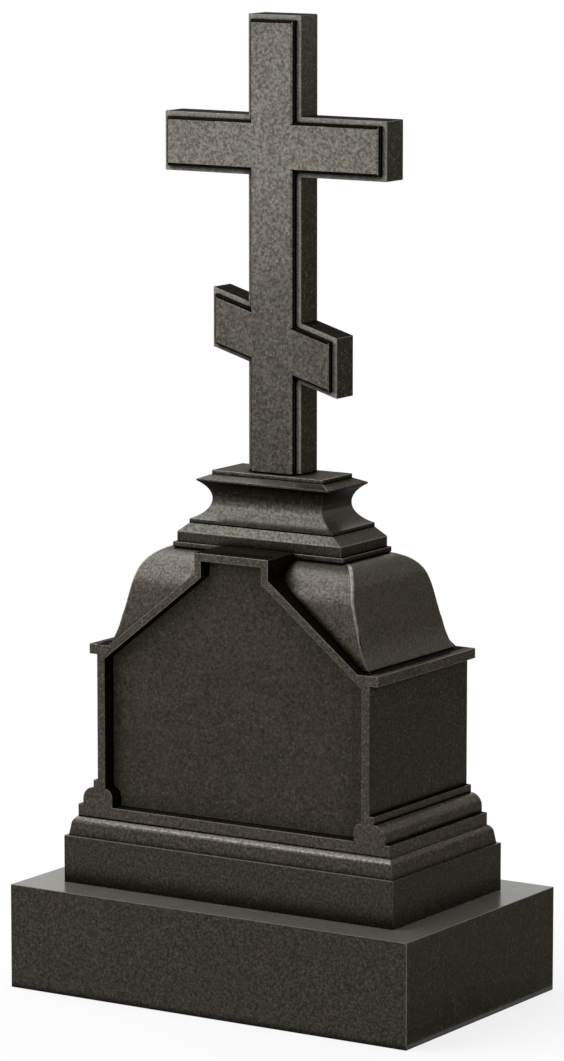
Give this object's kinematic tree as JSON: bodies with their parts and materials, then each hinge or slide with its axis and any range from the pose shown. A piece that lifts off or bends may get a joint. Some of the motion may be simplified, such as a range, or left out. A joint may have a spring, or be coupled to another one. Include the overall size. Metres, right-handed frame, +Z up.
{
  "type": "granite cross monument",
  "caption": "Polished dark granite grave monument: stepped base, gabled stele with recessed panel, bell-shaped roof and a six-point cross on a moulded pedestal.",
  "frame": {"origin": "middle of the plinth's underside, on the ground", "axes": "+Z up, front face with the slanted bar falling to the right towards -Y, width along X"},
  "size_m": [0.9, 0.55, 1.891],
  "materials": {
    "granite": "polished",
    "granite_panel": "polished"
  },
  "bodies": {
    "root": {"plinth": "granite", "base_dado": "granite", "base_course": "granite", "body_foot": "granite", "body_core": "granite", "ovolo_left": "granite", "ovolo_right": "granite", "fillet_left": "granite", "fillet_right": "granite", "cornice_left": "granite", "cornice_right": "granite", "front_stile_left": "granite", "front_stile_right": "granite", "front_rake_left": "granite", "front_rake_right": "granite", "front_neck": "granite", "front_panel": "granite_panel", "back_stile_left": "granite", "back_stile_right": "granite", "back_rake_left": "granite", "back_rake_right": "granite", "back_neck": "granite", "back_panel": "granite_panel", "bell_roof": "granite", "pedestal_step": "granite", "pedestal_base": "granite", "pedestal_hollow": "granite", "pedestal_cap": "granite", "cross_seat": "granite", "cross_slab": "granite", "cross_face": "granite"}
  },
  "joints": []
}
